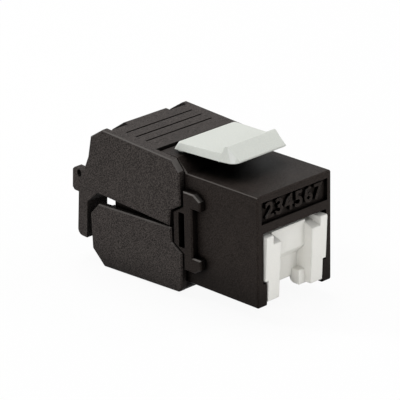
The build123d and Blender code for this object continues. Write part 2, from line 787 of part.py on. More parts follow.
def cap_rail():
    """Right-hand rail of the dust cap, with its stepped top and its flange."""
    wide = RECESS_W / 2 - CAP_CLEAR
    slim = TAB_SLOT_W / 2 - CAP_SLOT_CLEAR
    inner = CAP_GAP_W / 2
    side = outline(
        (-CAP_PROUD, CAP_TOP),
        (CAP_BACK, CAP_TOP),
        (CAP_BACK, CAP_BOTTOM),
        (CAP_TAPER - CAP_PROUD, CAP_BOTTOM),
    )
    side = rounded(side, CAP_EDGE, (-CAP_PROUD, CAP_TOP), (CAP_TAPER - CAP_PROUD, CAP_BOTTOM))
    rail = across(side, inner, slim)
    front_edges = rail.edges().filter_by(lambda edge: edge.center().Y < 0 and edge.length > CAP_TOP)
    rail = fillet(front_edges.sort_by(Axis.X)[0], CAP_SOFT)
    limit = block(0, wide, -CAP_PROUD, RECESS_DEPTH - FLANGE_GAP, CAP_WIDE_LOW, CAP_TOP)
    flange = across(side, slim - FLANGE_GAP, wide) & limit
    step = outline(
        (-2, CAP_STEP_TOP),
        (-CAP_PROUD, CAP_STEP_TOP),
        (CAP_PAD_Y, CAP_STEP_TOP + CAP_STEP_RISE),
        (CAP_BACK + 1, CAP_STEP_TOP + CAP_STEP_RISE),
        (CAP_BACK + 1, CAP_TOP + 1),
        (-2, CAP_TOP + 1),
    )
    return rail + flange - across(step, inner - 1, CAP_STEP_X)


def dust_cap():
    """Port plug: two rails, a pad and panel between them, two lugs and two cheeks."""
    inner = CAP_GAP_W / 2
    face = outline(
        (CAP_PAD_Y, CAP_TOP - CAP_PAD_GAP),
        (CAP_PAD_Y, CAP_PAD_LOW),
        (CAP_PAD_Y + CAP_PAD_CUT, CAP_PAD_LOW - CAP_PAD_CUT),
        (CAP_PAD_Y + CAP_PAD_CUT, CAP_PANEL_LOW),
        (CAP_BACK, CAP_PANEL_LOW),
        (CAP_BACK, CAP_TOP - CAP_PAD_GAP),
    )
    middle = across(face, -inner - CAP_JOIN, inner + CAP_JOIN)
    lug = outline(
        (CAP_LUG_Y, CAP_LUG_TOP),
        (CAP_BACK, CAP_LUG_TOP),
        (CAP_BACK, CAP_LUG_LOW),
        (CAP_LUG_Y, CAP_LUG_LOW),
    )
    lug = rounded(lug, CAP_LUG_ROUND, (CAP_BACK, CAP_LUG_LOW))
    lug = rounded(lug, CAP_EDGE, (CAP_LUG_Y, CAP_LUG_TOP), (CAP_LUG_Y, CAP_LUG_LOW))
    lug = across(lug, inner - CAP_LUG_W, inner + CAP_JOIN)
    lug = fillet(lug.faces().sort_by(Axis.X)[0].edges(), CAP_SOFT)
    cheek_in = TAB_SLOT_W / 2 - CAP_SLOT_CLEAR - CHEEK_JOIN
    cheek = block(cheek_in, PORT_HALF - CHEEK_CLEAR, CAP_BACK - 1, CHEEK_END, CAP_WIDE_LOW, CHEEK_TOP)
    right = cap_rail() + lug + cheek
    return middle + both_sides(right)


def write(name, shape):
    """Write one node's STEP file."""
    shape.label = name
    export_step(shape, f"parts/{name}.step")


write("front_housing", front_housing())
write("rear_body", rear_body())
write("release_latch", release_latch())
write("dust_cap", dust_cap())
write("upper_cover", swung(upper_cover_closed(), UPPER_HINGE_Z, UPPER_AJAR))
write("lower_cover", swung(lower_cover_closed(), -LOWER_HINGE_Z, -LOWER_AJAR))
write("contact_insert", contact_insert())
write("circuit_board", circuit_board())
write("upper_terminal_block", terminal_block())
write("lower_terminal_block", upside_down(terminal_block()))
for number in range(CONTACTS):
    write(f"spring_contact_{number + 1}", spring_contact(number))
for number in range(WAYS):
    blade = cutting_blade(number)
    write(f"upper_blade_{number + 1}", blade)
    write(f"lower_blade_{number + 1}", Rot(0, 180, 0) * cutting_blade(WAYS - 1 - number))
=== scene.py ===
import logging
import math
from dataclasses import dataclass, replace
from enum import Enum

import bmesh
import bpy
from mathutils import Matrix, Vector


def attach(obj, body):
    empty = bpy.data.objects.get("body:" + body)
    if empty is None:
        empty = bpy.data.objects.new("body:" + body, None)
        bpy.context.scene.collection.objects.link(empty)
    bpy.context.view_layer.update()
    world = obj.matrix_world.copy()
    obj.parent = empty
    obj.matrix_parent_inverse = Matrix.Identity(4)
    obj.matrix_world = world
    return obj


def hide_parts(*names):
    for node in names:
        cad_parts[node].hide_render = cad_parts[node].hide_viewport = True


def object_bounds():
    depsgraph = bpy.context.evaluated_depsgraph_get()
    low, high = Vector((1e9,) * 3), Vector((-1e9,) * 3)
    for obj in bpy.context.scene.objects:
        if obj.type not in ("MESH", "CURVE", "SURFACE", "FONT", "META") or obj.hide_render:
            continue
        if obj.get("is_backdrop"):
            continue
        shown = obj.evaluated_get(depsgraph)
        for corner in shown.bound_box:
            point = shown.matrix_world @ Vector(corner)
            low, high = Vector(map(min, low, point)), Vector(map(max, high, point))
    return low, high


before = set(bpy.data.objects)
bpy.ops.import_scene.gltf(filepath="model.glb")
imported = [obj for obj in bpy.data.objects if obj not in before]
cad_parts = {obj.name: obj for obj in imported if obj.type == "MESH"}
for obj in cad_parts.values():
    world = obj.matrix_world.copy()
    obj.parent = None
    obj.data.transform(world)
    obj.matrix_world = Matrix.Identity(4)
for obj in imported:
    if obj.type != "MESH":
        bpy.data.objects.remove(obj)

LOG = logging.getLogger("keystone_jack")
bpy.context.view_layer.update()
MM = 0.001
WELD_MM = 0.002
WHITE = (1.0, 1.0, 1.0)

# Directions of the edges that get a painted highlight, in a piece's own frame
LEFT_RIM = (-0.75, 0.0, 0.66)
NEAR_RIMS = (-0.45, -0.45, 0.77)

# Where each mask of the plastics begins and is full
FINE_GRAIN = (0.38, 0.62)
# Openness at which the painted shade in closed corners is full, and at which it is gone
CREASE_SHADE_FADE = (0.38, 0.88)
TURNED_EDGE = (0.9, 0.75)
OUTER_EDGE = (0.75, 0.95)
# Lean at which the painted edge highlight begins and is full
HIGHLIGHT_LEAN = (0.7, 0.87)
EDGE_REACH_MM = 0.6
PLAIN_HIGHLIGHT_LIFT = 1.2
BEVEL_SAMPLES = 6
SHADE_SAMPLES = 6
EDGE_SAMPLES = 4

Triple = tuple[float, float, float]
Color = Triple


class Body(Enum):
    """The CAD bodies that the pieces ride on."""

    JACK = "jack"
    LATCH = "latch"


class Grain(Enum):
    """How a mould's surface is finished, as grain size in millimetres."""

    SATIN = 0.13
    SPARKED = 0.14


class NodeSheet:
    """A material's node tree, with short ways to add and join its nodes."""

    def __init__(self, name: str) -> None:
        """Starts an empty material.

        Args:
            name: The material's name.
        """
        self.material = bpy.data.materials.new(name)
        self.material.use_nodes = True
        self.tree = self.material.node_tree
        self.tree.nodes.clear()

    def add(self, kind: str, **values: object) -> bpy.types.Node:
        """Adds a node and sets its properties.

        Args:
            kind: The node's type, such as ShaderNodeBump.
            **values: Property names and their values.

        Returns:
            The new node.
        """
        node = self.tree.nodes.new(kind)
        for key, value in values.items():
            setattr(node, key, value)
        return node

    def join(self, out: bpy.types.NodeSocket, into: bpy.types.NodeSocket) -> None:
        """Joins two sockets.

        Args:
            out: The output that gives the value.
            into: The input that takes it.
        """
        self.tree.links.new(out, into)

    def millimetres(self, stretch: Triple = (1.0, 1.0, 1.0)) -> bpy.types.NodeSocket:
        """Gives Object coordinates in millimetres.

        Args:
            stretch: A further scale along each axis.

        Returns:
            The vector output that textures read.
        """
        place = self.add("ShaderNodeTexCoord")
        mapping = self.add("ShaderNodeMapping")
        mapping.inputs["Scale"].default_value = [factor / MM for factor in stretch]
        self.join(place.outputs["Object"], mapping.inputs["Vector"])
        return mapping.outputs["Vector"]

    def noise(self, vector: bpy.types.NodeSocket, scale: float, detail: float) -> bpy.types.NodeSocket:
        """Adds a noise texture.

        Args:
            vector: The coordinates that it reads.
            scale: How many grains a millimetre holds.
            detail: How many finer layers it adds.

        Returns:
            The grey output of the noise.
        """
        node = self.add("ShaderNodeTexNoise")
        node.inputs["Scale"].default_value = scale
        node.inputs["Detail"].default_value = detail
        self.join(vector, node.inputs["Vector"])
        return node.outputs["Fac"]

    def between(
        self, fac: bpy.types.NodeSocket, low: float, high: float, start: float = 0.0, end: float = 1.0
    ) -> bpy.types.NodeSocket:
        """Spreads a value over a range.

        Args:
            fac: The value to spread.
            low: What the start becomes.
            high: What the end becomes.
            start: The value that gives low.
            end: The value that gives high.

        Returns:
            The spread value.
        """
        node = self.add("ShaderNodeMapRange")
        node.inputs["From Min"].default_value = start
        node.inputs["From Max"].default_value = end
        node.inputs["To Min"].default_value = low
        node.inputs["To Max"].default_value = high
        self.join(fac, node.inputs["Value"])
        return node.outputs["Result"]

    def mask(self, fac: bpy.types.NodeSocket, start: float, end: float) -> bpy.types.NodeSocket:
        """Turns a value into a mask from 0 to 1.

        Args:
            fac: The value to read.
            start: The value that gives 0.
            end: The value that gives 1.

        Returns:
            The mask.
        """
        return self.between(fac, 0.0, 1.0, start, end)

    def blend(self, fac: bpy.types.NodeSocket, first: Color, second: Color) -> bpy.types.NodeSocket:
        """Blends two colours.

        Args:
            fac: 0 gives the first colour, 1 the second.
            first: Linear red, green and blue.
            second: Linear red, green and blue.

        Returns:
            The blended colour.
        """
        node = self.add("ShaderNodeMix", data_type="RGBA")
        node.inputs[6].default_value = (*first, 1.0)
        node.inputs[7].default_value = (*second, 1.0)
        self.join(fac, node.inputs[0])
        return node.outputs[2]

    def openness(self, reach_mm: float, samples: int) -> bpy.types.NodeSocket:
        """Measures how open a spot is.

        Args:
            reach_mm: How far off a neighbour still counts.
            samples: How many directions are tried.

        Returns:
            1 in the open, 0 where all is closed in.
        """
        node = self.add("ShaderNodeAmbientOcclusion", samples=samples)
        node.inputs["Distance"].default_value = reach_mm * MM
        return node.outputs["AO"]

    def bumped(self, height: bpy.types.NodeSocket, depth_mm: float) -> bpy.types.Node:
        """Adds a bump.

        Args:
            height: The grey value that is raised.
            depth_mm: How high a value of 1 stands.

        Returns:
            The bump node.
        """
        node = self.add("ShaderNodeBump")
        node.inputs["Distance"].default_value = depth_mm * MM
        self.join(height, node.inputs["Height"])
        return node

    def surface(self) -> bpy.types.Node:
        """Adds the Principled shader and the material's output.

        Returns:
            The shader node.
        """
        shader = self.add("ShaderNodeBsdfPrincipled")
        output = self.add("ShaderNodeOutputMaterial")
        self.join(shader.outputs["BSDF"], output.inputs["Surface"])
        return shader


def shade(color: Color, factor: float) -> Color:
    """Makes a colour lighter or darker.

    Args:
        color: Linear red, green and blue.
        factor: Above 1 for lighter, below 1 for darker.

    Returns:
        The new colour, no channel above 1.
    """
    return tuple(min(1.0, channel * factor) for channel in color)


def plain_view(tree: bpy.types.NodeTree) -> bpy.types.NodeSocket:
    """Tells which rays see the plain white background.

    Args:
        tree: The node tree of a material or of the world.

    Returns:
        1 for rays from the camera, off a glossy surface or through a clear one, else 0.
    """
    path = tree.nodes.new("ShaderNodeLightPath")
    seen = path.outputs["Is Camera Ray"]
    for kind in ("Is Glossy Ray", "Is Transmission Ray"):
        either = tree.nodes.new("ShaderNodeMath")
        either.operation = "MAXIMUM"
        tree.links.new(seen, either.inputs[0])
        tree.links.new(path.outputs[kind], either.inputs[1])
        seen = either.outputs[0]
    return seen


@dataclass(frozen=True)
class MouldedPlastic:
    """Injection-moulded plastic with the mould's grain and soft edges, painted shade in its closed
    corners, and a painted highlight, with a little wear, on its edges.

    Attributes:
        name: The material's name.
        color: Linear red, green and blue in the open.
        roughness: The middle of its roughness.
        grain: The mould's finish.
        depth_mm: How deep the grain is.
        speckle: How much the grain lightens and darkens the colour.
        specular: Strength of the gloss.
        tint: Colour of the gloss.
        edge_mm: Radius that softens the edges.
        edge_highlight: Colour of the painted edge highlight, which also stands for a little wear, or
            None for a little above color.
        crease_shade: What is left of the colour under the painted shade where a spot is closed in all
            round.
        highlight_side: Direction that the edges with the painted highlight face.
        shade_mm: How far off a neighbour still adds to the painted shade.
    """

    name: str
    color: Color
    roughness: float
    grain: Grain
    depth_mm: float
    speckle: float = 0.25
    specular: float = 0.12
    tint: Color = WHITE
    edge_mm: float = 0.12
    edge_highlight: Color | None = None
    crease_shade: float = 0.35
    highlight_side: Triple = NEAR_RIMS
    shade_mm: float = 5.0

    def build(self) -> bpy.types.Material:
        """Makes the material.

        Returns:
            The finished material.
        """
        sheet = NodeSheet(self.name)
        shader = sheet.surface()
        shader.inputs["Specular IOR Level"].default_value = self.specular
        shader.inputs["Specular Tint"].default_value = (*self.tint, 1.0)
        place = sheet.millimetres()
        fine = sheet.noise(place, 1.0 / self.grain.value, 3.0)
        broad = sheet.noise(place, 0.35, 2.0)
        tone = sheet.add("ShaderNodeMath", operation="MULTIPLY_ADD")
        tone.inputs[1].default_value = 0.75
        sheet.join(sheet.mask(fine, *FINE_GRAIN), tone.inputs[0])
        sheet.join(sheet.between(broad, 0.0, 0.25), tone.inputs[2])
        low = shade(self.color, 1.0 - self.speckle)
        high = shade(self.color, 1.0 + self.speckle)
        base = sheet.blend(tone.outputs[0], low, high)
        rough = sheet.between(broad, self.roughness - 0.05, self.roughness + 0.05)
        sheet.join(rough, shader.inputs["Roughness"])
        edge = sheet.add("ShaderNodeBevel", samples=BEVEL_SAMPLES)
        edge.inputs["Radius"].default_value = self.edge_mm * MM
        sheet.join(self.paint_edge_highlight(sheet, self.paint_crease_shade(sheet, base), edge), shader.inputs["Base Color"])
        bump = sheet.bumped(fine, self.depth_mm)
        sheet.join(edge.outputs["Normal"], bump.inputs["Normal"])
        sheet.join(bump.outputs["Normal"], shader.inputs["Normal"])
        return sheet.material

    def paint_crease_shade(self, sheet: NodeSheet, base: bpy.types.NodeSocket) -> bpy.types.NodeSocket:
        """Paints shade into narrow gaps and inner corners, darker the more closed in a spot is.

        Args:
            sheet: The material's node tree.
            base: The colour in the open.

        Returns:
            The colour with painted shade in its creases.
        """
        # Painted shade: ambient occlusion darkens the colour where neighbours close in.
        mix = sheet.add("ShaderNodeMix", data_type="RGBA")
        mix.inputs[6].default_value = (*shade(self.color, self.crease_shade), 1.0)
        room = sheet.openness(self.shade_mm, SHADE_SAMPLES)
        sheet.join(sheet.mask(room, *CREASE_SHADE_FADE), mix.inputs[0])
        sheet.join(base, mix.inputs[7])
        return mix.outputs[2]

    def paint_edge_highlight(
        self, sheet: NodeSheet, base: bpy.types.NodeSocket, edge: bpy.types.Node
    ) -> bpy.types.NodeSocket:
        """Paints a highlight, with a little wear, on the outer edges that lean towards the chosen side.

        Args:
            sheet: The material's node tree.
            base: The colour away from the edges.
            edge: The Bevel node, whose normal turns off the piece's axes on a rounding or at an edge.

        Returns:
            The colour with painted edge highlights.
        """
        own = sheet.add("ShaderNodeVectorTransform", vector_type="NORMAL")
        own.convert_from = "WORLD"
        own.convert_to = "OBJECT"
        sheet.join(edge.outputs["Normal"], own.inputs[0])
        size = sheet.add("ShaderNodeVectorMath", operation="ABSOLUTE")
        sheet.join(own.outputs[0], size.inputs[0])
        parts = sheet.add("ShaderNodeSeparateXYZ")
        sheet.join(size.outputs["Vector"], parts.inputs[0])
        level = sheet.add("ShaderNodeMath", operation="MAXIMUM")
        sheet.join(parts.outputs["X"], level.inputs[0])
        sheet.join(parts.outputs["Y"], level.inputs[1])
        flat = sheet.add("ShaderNodeMath", operation="MAXIMUM")
        sheet.join(level.outputs[0], flat.inputs[0])
        sheet.join(parts.outputs["Z"], flat.inputs[1])
        bend = sheet.mask(flat.outputs[0], *TURNED_EDGE)
        outer = sheet.mask(sheet.openness(EDGE_REACH_MM, EDGE_SAMPLES), *OUTER_EDGE)
        lean = sheet.add("ShaderNodeVectorMath", operation="DOT_PRODUCT")
        lean.inputs[1].default_value = self.highlight_side
        sheet.join(own.outputs[0], lean.inputs[0])
        highlight_mask = sheet.mask(lean.outputs["Value"], *HIGHLIGHT_LEAN)
        most = sheet.add("ShaderNodeMath", operation="MULTIPLY")
        sheet.join(bend, most.inputs[0])
        sheet.join(outer, most.inputs[1])
        both = sheet.add("ShaderNodeMath", operation="MULTIPLY")
        sheet.join(most.outputs[0], both.inputs[0])
        sheet.join(highlight_mask, both.inputs[1])
        # Painted highlight, with a little wear: turned outer edges that lean the chosen way take the
        # lighter edge colour.
        mix = sheet.add("ShaderNodeMix", data_type="RGBA")
        mix.inputs[7].default_value = (*(self.edge_highlight or shade(self.color, PLAIN_HIGHLIGHT_LIFT)), 1.0)
        sheet.join(both.outputs[0], mix.inputs[0])
        sheet.join(base, mix.inputs[6])
        return mix.outputs[2]


@dataclass(frozen=True)
class SheetMetal:
    """Plated or tinned metal with fine drawing lines along the strip."""

    name: str
    color: Color
    roughness: float
    stretch: Triple
    line_depth_mm: float = 0.004

    def build(self) -> bpy.types.Material:
        """Makes the material.

        Returns:
            The finished material.
        """
        sheet = NodeSheet(self.name)
        shader = sheet.surface()
        shader.inputs["Metallic"].default_value = 1.0
        lines = sheet.noise(sheet.millimetres(self.stretch), 3.0, 2.0)
        tarnish = sheet.noise(sheet.millimetres(), 1.2, 2.0)
        base = sheet.blend(tarnish, shade(self.color, 0.86), shade(self.color, 1.08))
        sheet.join(base, shader.inputs["Base Color"])
        rough = sheet.between(lines, self.roughness - 0.07, self.roughness + 0.1)
        sheet.join(rough, shader.inputs["Roughness"])
        sheet.join(sheet.bumped(lines, self.line_depth_mm).outputs["Normal"], shader.inputs["Normal"])
        return sheet.material


@dataclass(frozen=True)
class BoardLaminate:
    """Green solder mask over copper tracks that run from the contacts to the blades."""

    name: str
    mask: Color
    copper: Color
    track_pitch_mm: float
    track_height_mm: float = 0.02

    def build(self) -> bpy.types.Material:
        """Makes the material.

        Returns:
            The finished material.
        """
        sheet = NodeSheet(self.name)
        shader = sheet.surface()
        shader.inputs["Roughness"].default_value = 0.32
        waves = sheet.add("ShaderNodeTexWave", wave_type="BANDS", bands_direction="X")
        waves.inputs["Scale"].default_value = math.tau / (self.track_pitch_mm * 20.0)
        waves.inputs["Distortion"].default_value = 0.6
        sheet.join(sheet.millimetres((1.0, 0.25, 1.0)), waves.inputs["Vector"])
        ramp = sheet.add("ShaderNodeValToRGB")
        ramp.color_ramp.elements[0].position = 0.62
        ramp.color_ramp.elements[1].position = 0.7
        sheet.join(waves.outputs["Fac"], ramp.inputs["Fac"])
        base = sheet.blend(ramp.outputs["Color"], self.mask, self.copper)
        sheet.join(base, shader.inputs["Base Color"])
        bump = sheet.bumped(ramp.outputs["Color"], self.track_height_mm)
        sheet.join(bump.outputs["Normal"], shader.inputs["Normal"])
        return sheet.material


@dataclass(frozen=True)
class Backdrop:
    """Plain pale floor that shows white to the camera and keeps a soft shadow."""

    name: str = "pale_floor"
    paint: float = 0.9
    glow: float = 0.93

    def build(self) -> bpy.types.Material:
        """Makes the material.

        Returns:
            The finished material.
        """
        sheet = NodeSheet(self.name)
        paint = sheet.add("ShaderNodeBsdfDiffuse")
        paint.inputs["Color"].default_value = (self.paint, self.paint, self.paint, 1.0)
        light = sheet.add("ShaderNodeEmission")
        light.inputs["Color"].default_value = (*WHITE, 1.0)
        share = sheet.add("ShaderNodeMath", operation="MULTIPLY")
        share.inputs[1].default_value = self.glow
        mix = sheet.add("ShaderNodeMixShader")
        output = sheet.add("ShaderNodeOutputMaterial")
        sheet.join(plain_view(sheet.tree), share.inputs[0])
        sheet.join(share.outputs[0], mix.inputs[0])
        sheet.join(paint.outputs[0], mix.inputs[1])
        sheet.join(light.outputs[0], mix.inputs[2])
        sheet.join(mix.outputs[0], output.inputs["Surface"])
        return sheet.material


WARM_GLOSS = (1.0, 0.85, 0.78)
# Each plastic's edge colour is a painted highlight, and its darkening in closed corners is painted
# shade.
HOUSING = MouldedPlastic(
    name="housing_black",
    color=(0.0235, 0.0191, 0.0169),
    roughness=0.34,
    grain=Grain.SATIN,
    depth_mm=0.022,
    speckle=0.7,
    specular=0.03,
    tint=WARM_GLOSS,
    edge_mm=0.1,
    edge_highlight=(0.105, 0.098, 0.092),
    crease_shade=0.0,
    highlight_side=LEFT_RIM,
    shade_mm=11.0,
)
FRAME = replace(
    HOUSING,
    name="frame_black",
    color=(0.0195, 0.0158, 0.0140),
    edge_highlight=(0.13, 0.123, 0.116),
    highlight_side=NEAR_RIMS,
    shade_mm=5.0,
)
COVERS = MouldedPlastic(
    name="cover_black",
    color=(0.0410, 0.0352, 0.0325),
    roughness=0.46,
    grain=Grain.SPARKED,
    depth_mm=0.05,
    speckle=1.0,
    specular=0.05,
    tint=WARM_GLOSS,
    edge_mm=0.1,
    edge_highlight=(0.105, 0.098, 0.093),
    crease_shade=0.15,
)
LATCH = MouldedPlastic(
    name="latch_white",
    color=(0.635, 0.655, 0.61),
    roughness=0.48,
    grain=Grain.SPARKED,
    depth_mm=0.012,
    speckle=0.05,
    specular=0.3,
    edge_highlight=(0.75, 0.765, 0.73),
    crease_shade=0.75,
    highlight_side=LEFT_RIM,
)
CAP = MouldedPlastic(
    name="cap_white",
    color=(0.84, 0.83, 0.785),
    roughness=0.45,
    grain=Grain.SATIN,
    depth_mm=0.004,
    speckle=0.02,
    specular=0.3,
    edge_mm=0.28,
    edge_highlight=(0.86, 0.85, 0.81),
    crease_shade=0.92,
)
INSERT = MouldedPlastic("insert_black", (0.015, 0.014, 0.013), 0.4, Grain.SATIN, 0.004)
TERMINAL = MouldedPlastic(
    name="terminal_ivory",
    color=(0.52, 0.51, 0.46),
    roughness=0.45,
    grain=Grain.SATIN,
    depth_mm=0.004,
    speckle=0.04,
    specular=0.3,
    edge_mm=0.15,
)
CONTACT = SheetMetal("contact_gold", (0.85, 0.63, 0.27), 0.24, (1.0, 0.08, 1.0))
BLADE = SheetMetal("blade_tin", (0.70, 0.70, 0.69), 0.33, (1.0, 1.0, 0.08))
BOARD = BoardLaminate("board_green", (0.016, 0.075, 0.03), (0.05, 0.16, 0.05), 1.02)


def dress(node: str, material: bpy.types.Material) -> None:
    """Gives a CAD node its finish.

    Args:
        node: The CAD node's name.
        material: The material for all its slots.
    """
    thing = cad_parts[node]
    if not thing.material_slots:
        thing.data.materials.append(material)
    for slot in thing.material_slots:
        slot.material = material


def place_mesh(
    mesh: bmesh.types.BMesh, name: str, body: Body, material: bpy.types.Material
) -> bpy.types.Object:
    """Turns a finished bmesh into a piece that rides on a CAD body.

    Args:
        mesh: The shape, in metres in the row frame. It is freed here.
        name: The piece's name.
        body: The body that it rides on.
        material: Its material.

    Returns:
        The new piece.
    """
    data = bpy.data.meshes.new(name)
    bmesh.ops.recalc_face_normals(mesh, faces=mesh.faces[:])
    mesh.to_mesh(data)
    mesh.free()
    data.materials.append(material)
    piece = bpy.data.objects.new(name, data)
    bpy.context.collection.objects.link(piece)
    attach(piece, body.value)
    LOG.info("piece %s rides on %s", name, body.value)
    return piece


@dataclass
class Housing:
    """Front housing, rear body and the plain digits in the label field."""

    digits: str = "234567"
    type_size_mm: float = 3.6
    type_spacing: float = 1.12
    type_weight_mm: float = 0.06
    type_bevel_mm: float = 0.04
    type_steps: int = 6
    digit_height_mm: float = 2.45
    digit_relief_mm: float = 0.45
    field_depth_mm: float = 0.55
    field_middle_z_mm: float = 5.75
    field_width_mm: float = 11.2

    def build(self) -> None:
        """Dresses the two black pieces and adds the digits."""
        plastic = HOUSING.build()
        dress("front_housing", plastic)
        dress("rear_body", FRAME.build())
        self.label(plastic)

    def label(self, plastic: bpy.types.Material) -> None:
        """Raises plain digits on the floor of the label field.

        Args:
            plastic: The housing's own plastic.
        """
        curve = bpy.data.curves.new("digits_outline", type="FONT")
        curve.body = self.digits
        curve.size = self.type_size_mm * MM
        curve.space_character = self.type_spacing
        curve.offset = self.type_weight_mm * MM
        curve.extrude = self.digit_relief_mm / 2 * MM
        curve.bevel_depth = self.type_bevel_mm * MM
        curve.resolution_u = self.type_steps
        writing = bpy.data.objects.new("digits_outline", curve)
        bpy.context.collection.objects.link(writing)
        bpy.context.view_layer.update()
        made = writing.evaluated_get(bpy.context.evaluated_depsgraph_get())
        data = bpy.data.meshes.new_from_object(made)
        mesh = bmesh.new()
        mesh.from_mesh(data)
        bpy.data.objects.remove(writing)
        bpy.data.meshes.remove(data)
        bmesh.ops.remove_doubles(mesh, verts=mesh.verts[:], dist=WELD_MM * MM)
        xs = [vert.co.x for vert in mesh.verts]
        ys = [vert.co.y for vert in mesh.verts]
        middle = Vector(((min(xs) + max(xs)) / 2, (min(ys) + max(ys)) / 2, 0.0))
        wide = self.field_width_mm * MM / (max(xs) - min(xs))
        high = self.digit_height_mm * MM / (max(ys) - min(ys))
        bmesh.ops.translate(mesh, verts=mesh.verts[:], vec=-middle)
        bmesh.ops.scale(mesh, verts=mesh.verts[:], vec=(wide, high, 1.0))
        upright = Matrix.Rotation(math.pi / 2, 3, "X")
        bmesh.ops.rotate(mesh, verts=mesh.verts[:], cent=(0, 0, 0), matrix=upright)
        depth = self.field_depth_mm - self.digit_relief_mm / 2
        place = Vector((0.0, depth, self.field_middle_z_mm)) * MM
        bmesh.ops.translate(mesh, verts=mesh.verts[:], vec=place)
        place_mesh(mesh, "label_digits", Body.JACK, plastic)


@dataclass
class Covers:
    """The two wire covers."""

    def build(self) -> None:
        """Dresses both covers."""
        plastic = COVERS.build()
        dress("upper_cover", plastic)
        dress("lower_cover", plastic)


@dataclass(frozen=True)
class Station:
    """One cross-section of the latch: a trapezoid whose lower and upper edges have their own places."""

    low_y_mm: float
    low_half_mm: float
    low_z_mm: float
    top_y_mm: float
    top_half_mm: float
    top_z_mm: float

    def corner(self, side: float, upper: bool) -> Vector:
        """Places one corner of the trapezoid.

        Args:
            side: Its sign tells the right corner from the left.
            upper: Whether it is an upper corner.

        Returns:
            The corner's place in metres.
        """
        half = self.top_half_mm if upper else self.low_half_mm
        y = self.top_y_mm if upper else self.low_y_mm
        z = self.top_z_mm if upper else self.low_z_mm
        return Vector((math.copysign(half, side), y, z)) * MM


@dataclass
class Latch:
    """Release latch: a plate with sloped sides, a ridge over its tip, and the bead that it turns on."""

    stations: tuple[Station, ...] = (
        Station(17.4, 6.0, 10.4, 16.95, 5.6, 11.4),
        Station(8.9, 5.58, 10.58, 8.5, 5.08, 11.7),
        Station(8.8, 5.57, 10.59, 8.5, 4.82, 12.62),
        Station(8.2, 5.54, 10.61, 8.05, 4.68, 12.7),
        Station(6.9, 5.35, 10.65, 7.2, 4.57, 11.987),
        Station(6.35, 5.0, 10.69, 6.55, 4.49, 11.442),
        Station(6.0, 4.45, 10.75, 6.0, 4.42, 10.98),
    )
    corner_round_mm: float = 0.5
    corner_zone_mm: float = 0.1
    corner_steps: int = 4
    edge_round_mm: float = 0.08
    edge_steps: int = 2
    sharp_angle: float = 0.3
    bead_radius_mm: float = 0.7
    bead_width_mm: float = 10.4
    bead_segments: int = 24
    bead_y_mm: float = 16.8
    bead_z_mm: float = 8.95
    neck_mm: float = 0.7
    neck_top_mm: float = 10.95

    def build(self) -> None:
        """Builds the latch in place of the CAD one."""
        mesh = self.plate()
        self.bead(mesh)
        piece = place_mesh(mesh, "latch_plate", Body.LATCH, LATCH.build())
        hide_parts("release_latch")

    def plate(self) -> bmesh.types.BMesh:
        """Extrudes the plate and its ridge from the rear end to the tip, and rounds the edges.

        Returns:
            The closed mesh.
        """
        mesh = bmesh.new()
        first = self.stations[0]
        order = ((-1.0, False), (1.0, False), (1.0, True), (-1.0, True))
        end = mesh.faces.new([mesh.verts.new(first.corner(side, upper)) for side, upper in order])
        for station in self.stations[1:]:
            made = bmesh.ops.extrude_face_region(mesh, geom=[end])["geom"]
            if station is not self.stations[1]:
                bmesh.ops.delete(mesh, geom=[end], context="FACES_ONLY")
            end = next(item for item in made if isinstance(item, bmesh.types.BMFace))
            middle = end.calc_center_median().z
            for vert in end.verts:
                vert.co = station.corner(vert.co.x, vert.co.z > middle)
        bmesh.ops.recalc_face_normals(mesh, faces=mesh.faces[:])
        rear = (first.top_y_mm - self.corner_zone_mm) * MM
        at_rear = [edge for edge in mesh.edges if all(vert.co.y > rear for vert in edge.verts)]
        corners = [edge for edge in at_rear if edge.verts[0].co.x * edge.verts[1].co.x > 0]
        self.round_off(mesh, corners, self.corner_round_mm, self.corner_steps)
        sharp = [edge for edge in mesh.edges if edge.calc_face_angle(0.0) > self.sharp_angle]
        self.round_off(mesh, sharp, self.edge_round_mm, self.edge_steps)
        return mesh

    def round_off(
        self, mesh: bmesh.types.BMesh, edges: list[bmesh.types.BMEdge], radius_mm: float, steps: int
    ) -> None:
        """Rounds some edges.

        Args:
            mesh: The mesh that holds them.
            edges: The edges.
            radius_mm: How far the rounding reaches.
            steps: How many facets it has.
        """
        bmesh.ops.bevel(
            mesh,
            geom=edges,
            offset=radius_mm * MM,
            offset_type="OFFSET",
            segments=steps,
            profile=0.5,
            affect="EDGES",
            clamp_overlap=True,
            material=-1,
        )

    def bead(self, mesh: bmesh.types.BMesh) -> None:
        """Adds the bead in the shoulder's seat and the neck that joins it to the plate.

        Args:
            mesh: The latch's mesh.
        """
        rod = bmesh.ops.create_cone(
            mesh,
            cap_ends=True,
            segments=self.bead_segments,
            radius1=self.bead_radius_mm * MM,
            radius2=self.bead_radius_mm * MM,
            depth=self.bead_width_mm * MM,
        )["verts"]
        level = Matrix.Rotation(math.pi / 2, 3, "Y")
        bmesh.ops.rotate(mesh, verts=rod, cent=(0, 0, 0), matrix=level)
        bmesh.ops.translate(mesh, verts=rod, vec=Vector((0.0, self.bead_y_mm, self.bead_z_mm)) * MM)
        neck = bmesh.ops.create_cube(mesh, size=1.0)["verts"]
        height = self.neck_top_mm - self.bead_z_mm
        bmesh.ops.scale(mesh, verts=neck, vec=Vector((self.bead_width_mm, self.neck_mm, height)) * MM)
        middle = (self.neck_top_mm + self.bead_z_mm) / 2
        bmesh.ops.translate(mesh, verts=neck, vec=Vector((0.0, self.bead_y_mm, middle)) * MM)


@dataclass
class DustCap:
    """White plug in the port."""

    def build(self) -> None:
        """Dresses the cap."""
        dress("dust_cap", CAP.build())


